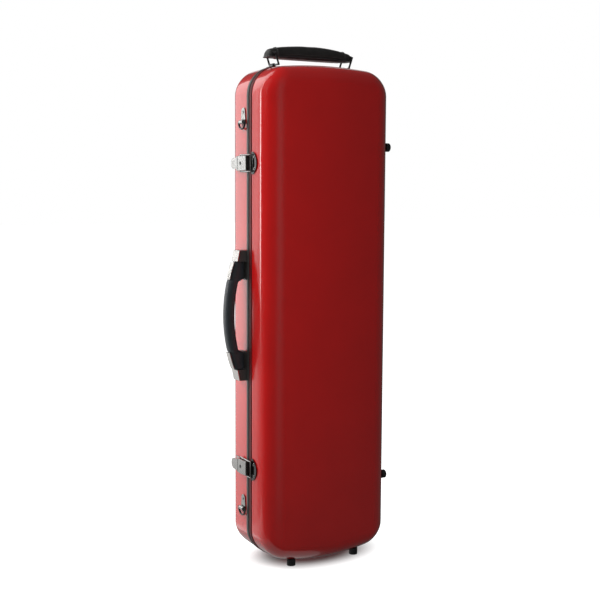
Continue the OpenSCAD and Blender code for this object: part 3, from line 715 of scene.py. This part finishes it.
def sew(name, path, body, closed=False):
    """A row of stitches: each is a short thread with pointed ends."""
    bm = bmesh.new()
    for spot, along in spread(path, STITCH_PITCH, closed):
        side = along.orthogonal().normalized()
        out = along.cross(side)
        rings = []
        for at, share in STITCH_RINGS:
            rings.append([bm.verts.new(spot + along * at * STITCH + (side * a + out * b) * share)
                          for a, b in round_section(THREAD_R, THREAD_SIDES)])
        for a, b in zip(rings, rings[1:]):
            join_rings(bm, a, b)
        bm.faces.new(rings[0][::-1])
        bm.faces.new(rings[-1])
    bmesh.ops.recalc_face_normals(bm, faces=bm.faces)
    add(name, bm, THREAD, body, smooth_angle=60)


def fill_out(piece, most, held):
    """Fills a soft piece by a short cloth simulation. The held points stay, and none moves
    further than most."""
    before = [v.co.copy() for v in piece.data.vertices]
    piece.vertex_groups.new(name="held").add(list(held), 1.0, "REPLACE")
    cloth = piece.modifiers.new("cloth", "CLOTH")
    settings = cloth.settings
    settings.quality, settings.mass = CLOTH_QUALITY, CLOTH_MASS
    settings.use_pressure, settings.uniform_pressure_force = True, CLOTH_PRESSURE
    settings.effector_weights.gravity = 0
    settings.vertex_group_mass = "held"
    cloth.collision_settings.use_collision = False
    cloth.point_cache.frame_end = CLOTH_FRAMES
    for step in range(1, CLOTH_FRAMES + 1):
        scene.frame_set(step)
    apply_modifiers(piece)
    for v, was in zip(piece.data.vertices, before):
        move = v.co - was
        if move.length > most:
            v.co = was + move * (most / move.length)
    piece.vertex_groups.clear()
    scene.frame_set(1)


def smoother(piece):
    finer = piece.modifiers.new("smoother", "SUBSURF")
    finer.levels = finer.render_levels = 1
    apply_modifiers(piece)


def swell(piece, by):
    """Moves each point along its normal by what by(point) says."""
    spots = [(v.co.copy(), v.normal.copy()) for v in piece.data.vertices]
    moved = [p + out * by(p) for p, out in spots]
    piece.data.vertices.foreach_set("co", [c for p in moved for c in p])
    piece.data.update()


def ruffle(piece, height, scale):
    """Small swells over a soft surface."""
    swell(piece, lambda p: height * noise.noise(p * scale))


def soft_skin(name, node, material, voxel, rounds, shrink=0.0):
    """A CAD node's solid as one soft skin: remeshed finely, its corners eased by smoothing."""
    source = frame["nodes"][node]
    bm = bmesh.new()
    bm.from_mesh(source.data)
    piece = add(name, bm, material, source["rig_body"], node, 180)
    skin = piece.modifiers.new("skin", "REMESH")
    skin.mode, skin.voxel_size = "VOXEL", voxel
    ease = piece.modifiers.new("ease", "SMOOTH")
    ease.factor, ease.iterations = 0.5, rounds
    apply_modifiers(piece)
    if shrink:
        swell(piece, lambda p: -shrink)
    return piece


# ---- the two handles ----

GRIP_ARC, GRIP_THICK = 235 * MM, 15 * MM   # the bar's outer arc and its depth
GRIP_SEAM = 0.62                           # of that depth, from the outer arc to the stitches
HUB_INSIDE = 1.2 * MM                      # the hubs' gap to the shell
HUB_FROM, HUB_FULL = 53 * MM, 58 * MM      # where the bar turns into its hubs
HUB_NARROWER = 0.25                        # of the width, to clear the mounts


def make_side_grip():
    """A moulded bar, bowed outwards, that deepens into a hub at each end."""
    lo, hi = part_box("side_grip")
    middle_y, middle_z = (lo.y + hi.y) / 2, (lo.z + hi.z) / 2
    out, half_w, end = SIDE_X - lo.x, (hi.y - lo.y) / 2, (hi.z - lo.z) / 2
    inner_arc, seam_arc = GRIP_ARC - GRIP_THICK, GRIP_ARC - GRIP_THICK * GRIP_SEAM
    steps, seam_half, end_round = 96, 50 * MM, 1.5 * MM
    loops = []
    for k in range(steps + 1):
        z = end * (2 * k / steps - 1)
        high = out - GRIP_ARC + math.sqrt(GRIP_ARC ** 2 - z * z)
        bar_low = out - GRIP_ARC + math.sqrt(inner_arc ** 2 - z * z)
        hub = eased(abs(z), HUB_FROM, HUB_FULL)
        low = bar_low + (HUB_INSIDE - bar_low) * hub
        tip = 1 - 0.05 * eased(abs(z), end - end_round, end)
        half = half_w * (1 - HUB_NARROWER * hub) * tip
        section = squarish((high - low) / 2 * tip, half, 32, 0.72)
        loops.append([(SIDE_X - (high + low) / 2 - a, middle_y + b, middle_z + z)
                      for a, b in section])
    add("side_grip_moulded", loft(loops), GRIP, "side_handle", "side_grip", 50)
    for where, side in BOTH_FACES:
        path = [(SIDE_X - (out - GRIP_ARC + math.sqrt(seam_arc ** 2 - z * z)),
                 middle_y + side * (half_w - 0.12 * MM), middle_z + z)
                for z in (seam_half * (k / 20 - 1) for k in range(41))]
        sew(f"side_grip_stitches_{where}", path, "side_handle")


PAD_CUT = 0.955                        # the cover is cut a little small, and its filling stretches it
PAD_END_HALF = 12.6 * MM
PAD_TIP_FROM, PAD_TIP = 0.925, 0.0755  # shares of its half length
PAD_FLANK, PAD_CROWN = 0.8, 0.72       # how full its section is
WELT_AT = 0.8                          # of the way from the middle to each end
PAD_SEAM_HALF, PAD_SEAM_UP = 52 * MM, 4.2 * MM


def make_end_pad():
    """The end handle's stuffed leather pad, with piping, stitches and a welt towards each end."""
    lo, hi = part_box("end_pad")
    middle, low, crown, half = (lo.y + hi.y) / 2, lo.z, hi.z - lo.z, (hi.y - lo.y) / 2
    stations, over, under = 64, 22, 7      # loops along the pad; points over it and under it

    def size_at(r):
        """Height and half width at a share r of the way to an end: waisted, with a round tip."""
        tip = math.sqrt(1 - max(0.0, (r - PAD_TIP_FROM) / PAD_TIP) ** 2)
        tall = crown * (1 - 0.42 * r ** 2.4) * tip
        wide = (half - (half - PAD_END_HALF) * eased(r, 0.3, 0.74)) * (0.35 + 0.65 * tip)
        return tall, wide

    def reach(u):
        return MIDDLE_X + u * (MIDDLE_X - lo.x if u < 0 else hi.x - MIDDLE_X)

    loops, edge = [], []
    for k in range(stations + 1):
        u = -math.cos(math.pi * k / stations) * 0.45 + (2 * k / stations - 1) * 0.55
        tall, wide = size_at(abs(u))
        loop = []
        for j in range(over + 1):
            a = math.pi * j / over
            loop.append((reach(u), middle + PAD_CUT * wide * fuller(math.cos(a), PAD_FLANK),
                         low + PAD_CUT * tall * math.sin(a) ** PAD_CROWN))
        for j in range(1, under + 1):
            loop.append((reach(u), middle - PAD_CUT * wide * (1 - 2 * j / (under + 1)), low))
        loops.append(loop)
        edge.append((reach(u), wide))
    per_loop = over + 1 + under
    held = [k * per_loop + j for k in range(stations + 1) for j in (0, *range(over, per_loop))]
    held += range(per_loop)
    held += range(stations * per_loop, (stations + 1) * per_loop)
    pad = add("end_pad_cover", loft(loops), LEATHER, "end_grip", "end_pad", 60)
    fill_out(pad, 1.6 * MM, held)
    smoother(pad)
    ruffle(pad, 0.35 * MM, 70)
    around = [(x, middle - w, low + 0.4 * MM) for x, w in edge]
    around += [(x, middle + w, low + 0.4 * MM) for x, w in edge[::-1]]
    add_cord("end_pad_piping", around, 0.9 * MM, Z_AXIS, PIPING, "end_grip")
    for where, side in BOTH_FACES:
        path = [(x, middle + side * (w * PAD_CUT * 0.985 + 0.9 * MM), low + PAD_SEAM_UP)
                for x, w in edge if abs(x - MIDDLE_X) < PAD_SEAM_HALF]
        sew(f"end_pad_stitches_{where}", path, "end_grip")
    for side, u in (("left", -WELT_AT), ("right", WELT_AT)):
        tall, wide = size_at(abs(u))
        welt = [(reach(u), middle + (wide - 0.3 * MM) * fuller(math.cos(a), PAD_FLANK),
                 low + (tall - 0.3 * MM) * math.sin(a) ** PAD_CROWN)
                for a in (math.pi * k / 30 for k in range(31))]
        add_cord(f"end_pad_welt_{side}", welt, 0.8 * MM, X_AXIS, PIPING, "end_grip", False)


BAIL_R, STRAP_TURN = 1.62 * MM, 2.5 * MM


def make_end_strap():
    """A flat strap under the pad, turned up round a bail at each end."""
    lo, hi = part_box("end_strap")
    pad_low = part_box("end_pad")[0].z
    middle, half, thick = (lo.y + hi.y) / 2, (hi.y - lo.y) / 2, 1.4 * MM
    path = []
    for side in ("left", "right"):
        bail_lo, bail_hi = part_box(f"end_bail_{side}")
        away = -1 if side == "left" else 1
        bar_x = (bail_lo.x if away < 0 else bail_hi.x) - away * BAIL_R
        bar_z = bail_hi.z - BAIL_R
        turn = [(bar_x + away * STRAP_TURN * math.sin(a), middle, bar_z - STRAP_TURN * math.cos(a))
                for a in (math.radians(12 * k) for k in range(-2, 18))]
        flat = [(bar_x - away * 12 * MM, middle, pad_low - thick / 2 - 0.1 * MM)]
        arm = [(bar_x - away * 6 * MM, middle, pad_low + 0.4 * MM)]
        path += (turn[::-1] + arm + flat) if away < 0 else (flat + arm + turn)
    add_strap("end_strap_leather", path, half, thick, Y_AXIS, UNDERSIDE, "end_grip", "end_strap")
    for where, side in BOTH_FACES:
        row = [(MIDDLE_X + x * MM, middle + side * (half - 1.8 * MM), pad_low - thick - 0.15 * MM)
               for x in range(-50, 51, 5)]
        sew(f"end_strap_stitches_{where}", row, "end_grip")


make_side_grip()
make_end_pad()
make_end_strap()


# ---- the fitted interior ----

def pocket_rims(node, depth, longest):
    """The closed edges where a CAD node's pockets break its front face at depth, as loops of
    points. Loops of the length longest or more, such as the node's own outline, are left out."""
    bm = bmesh.new()
    bm.from_mesh(frame["nodes"][node].data)
    bmesh.ops.remove_doubles(bm, verts=bm.verts, dist=1e-5)
    rim = {}
    for edge in bm.edges:
        a, b = edge.verts
        off_face = max(abs(a.co.y - depth), abs(b.co.y - depth)) > 0.05 * MM
        if off_face or len(edge.link_faces) != 2:
            continue
        if sum(face.normal.y < -0.9 for face in edge.link_faces) == 1:
            rim.setdefault(a.index, []).append(b.index)
            rim.setdefault(b.index, []).append(a.index)
    bm.verts.ensure_lookup_table()
    loops, seen = [], set()
    for first in sorted(rim):
        if first in seen:
            continue
        loop, here = [], first
        while here is not None:
            seen.add(here)
            loop.append(bm.verts[here].co.copy())
            here = next((n for n in rim[here] if n not in seen), None)
        length = sum((b - a).length for a, b in zip(loop, loop[1:] + loop[:1]))
        if length < longest:
            loops.append(loop)
    bm.free()
    return loops


def make_foam_bed():
    """One soft skin over the whole bed, with piping round each pocket."""
    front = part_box("foam_bed")[0].y
    foam = soft_skin("foam_bed_plush", "foam_bed", PLUSH, 3.2 * MM, 5)
    ruffle(foam, 0.5 * MM, 28)
    outer_edge = 1.9 * HEIGHT              # shorter than the bed's own outline
    for k, loop in enumerate(pocket_rims("foam_bed", front, outer_edge)):
        path = [p + Vector((0, 0.5 * MM, 0)) for p, _ in spread(loop, 4 * MM, True)]
        add_cord(f"pocket_piping_{k + 1}", path, 1.1 * MM, Y_AXIS, CORDING, "base")


def make_neck_cradle():
    """A stuffed block with a hollow for the neck, held along its back."""
    cradle = soft_skin("neck_cradle_plush", "neck_cradle", PLUSH, 2 * MM, 3, 0.5 * MM)
    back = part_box("neck_cradle")[1].y - 2 * MM
    fill_out(cradle, 0.9 * MM, [v.index for v in cradle.data.vertices if v.co.y > back])
    smoother(cradle)


def make_neck_strap():
    """A webbing strap that arches over the neck, with a fastener on it and a seam on each edge."""
    lo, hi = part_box("neck_strap")
    middle_x, middle_z = (lo.x + hi.x) / 2, (lo.z + hi.z) / 2
    half_l, half_w, thick = (hi.x - lo.x) / 2, (hi.z - lo.z) / 2, (hi.y - lo.y) * 0.8
    deep = (lo.y + hi.y) / 2

    def rise(x):
        return 1.2 * MM * math.cos(math.pi / 2 * x / half_l)

    path = [(middle_x + x, deep - rise(x), middle_z)
            for x in (half_l * (k / 16 - 1) for k in range(33))]
    add_strap("neck_strap_webbing", path, half_w, thick, Z_AXIS, WEBBING, "base", "neck_strap")
    lifted = [(x, y - 1.1 * MM, z) for x, y, z in path[20:30]]
    add_strap("neck_strap_fastener", lifted, half_w * 0.8, 0.9 * MM, Z_AXIS, PLUSH, "base")
    for where, side in (("upper", 1), ("lower", -1)):
        seam_z = middle_z + side * (half_w - 1.6 * MM)
        row = [(x, y - thick / 2 - 0.1 * MM, seam_z) for x, y, z in path]
        sew(f"neck_strap_stitches_{where}", row, "base")


LID_FLAT = 0.9                         # of the pocket lid's thickness, before the plush swells


def make_pocket_lid():
    """A board covered in plush, with a rolled edge, that turns on a covered cord."""
    lo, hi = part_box("pocket_lid")
    deep = (lo.y + hi.y) / 2
    half_x, half_z, half_t = (hi.x - lo.x) / 2, (hi.z - lo.z) / 2, (hi.y - lo.y) / 2
    middle_x, middle_z = (lo.x + hi.x) / 2, (lo.z + hi.z) / 2
    loops = []
    # how far inside the edge, in mm, and the share of the thickness there
    rings = [(0.0, 0.55), (0.25, 0.9), (0.8, 1.0), (2.2, 1.0), (8, 1.04), (16, 1.08), (24, 1.1)]
    for front in (-1, 1):
        part = []
        for inset, share in rings:
            w, h, r = half_x - inset * MM, half_z - inset * MM, max(6 - inset, 1.2) * MM
            points = [(sx * (w - r) + r * math.cos(a), sz * (h - r) + r * math.sin(a))
                      for sx, sz, first in ((1, -1, -90), (1, 1, 0), (-1, 1, 90), (-1, -1, 180))
                      for a in (math.radians(first + 90 * k / 6) for k in range(7))]
            face = deep + front * half_t * share * LID_FLAT
            part.append([(middle_x + x, face, middle_z + z) for x, z in points])
        loops += part[::-1] if front < 0 else part
    lid = add("pocket_lid_plush", loft(loops), PLUSH, "pocket_lid", "pocket_lid", 60)
    smoother(lid)
    ruffle(lid, 0.25 * MM, 40)
    pivot = joint_at("pocket_lid")
    hinge = [(pivot.x, pivot.y, lo.z + (hi.z - lo.z) * k / 30) for k in range(31)]
    add_cord("pocket_lid_cord", hinge, 1.35 * MM, X_AXIS, CORDING, "pocket_lid", False)
    inset, face = 4 * MM, deep - half_t * LID_FLAT - 0.25 * MM
    row = [(middle_x + sx * (half_x - inset), face, middle_z + sz * (half_z - inset))
           for sx, sz in ((1, -1), (1, 1), (-1, 1), (-1, -1))]
    sew("pocket_lid_stitches", row, "pocket_lid", True)


def make_pocket_tab():
    """A ribbon that sags a little, sewn to the pocket's lid."""
    lo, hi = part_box("pocket_lid_tab")
    middle_z, half = (lo.z + hi.z) / 2, (hi.z - lo.z) / 2
    path = [(lo.x + (hi.x - lo.x) * k / 12,
             lo.y + 0.35 * MM - 0.5 * MM * math.sin(math.pi * k / 12), middle_z) for k in range(13)]
    add_strap("pocket_tab_ribbon", path, half, 0.8 * MM, Z_AXIS, WEBBING, "pocket_lid",
              "pocket_lid_tab")
    row = [(hi.x - 3 * MM, lo.y - 0.3 * MM, middle_z + half * 0.8 * s) for s in (-1, 1)]
    sew("pocket_tab_stitches", row, "pocket_lid")


def make_lid_lining():
    """A thin padded skin inside the lid, with piping along its edge."""
    gap, thick = 0.3 * MM, 2.5 * MM
    first = RIM_EDGE + 1 * MM
    outer = shell_loops(LID_D, LID_R, -1, WALL + gap, first)
    inner = shell_loops(LID_D, LID_R, -1, WALL + gap + thick, first)
    skin = loft(outer[::-1] + inner)
    lining = add("lid_lining_plush", skin, LINING, "lid", "lid_lining", 60)
    ruffle(lining, 0.12 * MM, 35)
    edge = case_loop(first, WALL + gap + thick / 2, -1)
    add_cord("lid_lining_piping", edge, 1.5 * MM, Y_AXIS, CORDING, "lid")


def make_bow_sleeves():
    """Two cloth tubes in the lid for the tips of the bows."""
    lo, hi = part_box("bow_sleeves")
    radius = (hi.y - lo.y) / 2
    deep, length, wall = (lo.y + hi.y) / 2, hi.z - lo.z, 1.2 * MM
    rings, around, slack = 22, 40, 0.2 * MM
    hems = (1, 2, rings - 1, rings - 2)
    outer = [(radius + (0.25 * MM if k in hems else -slack), length * k / rings)
             for k in range(rings + 1)]
    inner = [(radius - wall, length * (1 - k / rings)) for k in range(rings + 1)]
    bm = bmesh.new()
    for x in (lo.x + radius, hi.x - radius):
        rows = []
        for r, z in outer + inner:
            row = []
            for k in range(around):
                a = 2 * math.pi * k / around
                c, s = math.cos(a), math.sin(a)
                fold = 0.35 * MM * noise.noise(Vector((c * 1.4, s * 1.4, z * 60 + x * 9)))
                reach = r + fold - slack
                row.append(bm.verts.new((x + reach * c, deep + reach * s, lo.z + z)))
            rows.append(row)
        for a, b in zip(rows, rows[1:] + rows[:1]):
            join_rings(bm, a, b)
    bmesh.ops.recalc_face_normals(bm, faces=bm.faces)
    add("bow_sleeves_cloth", bm, PLUSH, "lid", "bow_sleeves", 60)


make_foam_bed()
make_neck_cradle()
make_neck_strap()
make_pocket_lid()
make_pocket_tab()
make_lid_lining()
make_bow_sleeves()
